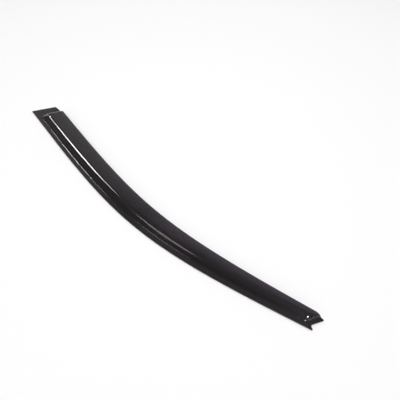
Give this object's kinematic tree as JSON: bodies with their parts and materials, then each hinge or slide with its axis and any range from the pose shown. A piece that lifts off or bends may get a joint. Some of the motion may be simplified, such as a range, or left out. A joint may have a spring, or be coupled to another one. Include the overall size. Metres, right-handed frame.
{
  "type": "window rain deflector",
  "caption": "Arched smoke-tint acrylic visor with a flat bonding flange along its top edge and ends; tapes above a car's side window to shed rain while the glass is lowered.",
  "frame": {"origin": "middle of the footprint, on the plane of the bonding flange's back face", "axes": "+X from the wide rear end to the pointed nose, +Y from the bonding edge to the free edge, +Z away from the car door"},
  "size_m": [1.0038, 0.1322, 0.0204],
  "materials": {
    "smoke_acrylic": "polished"
  },
  "bodies": {
    "root": {"deflector": "smoke_acrylic"}
  },
  "joints": []
}
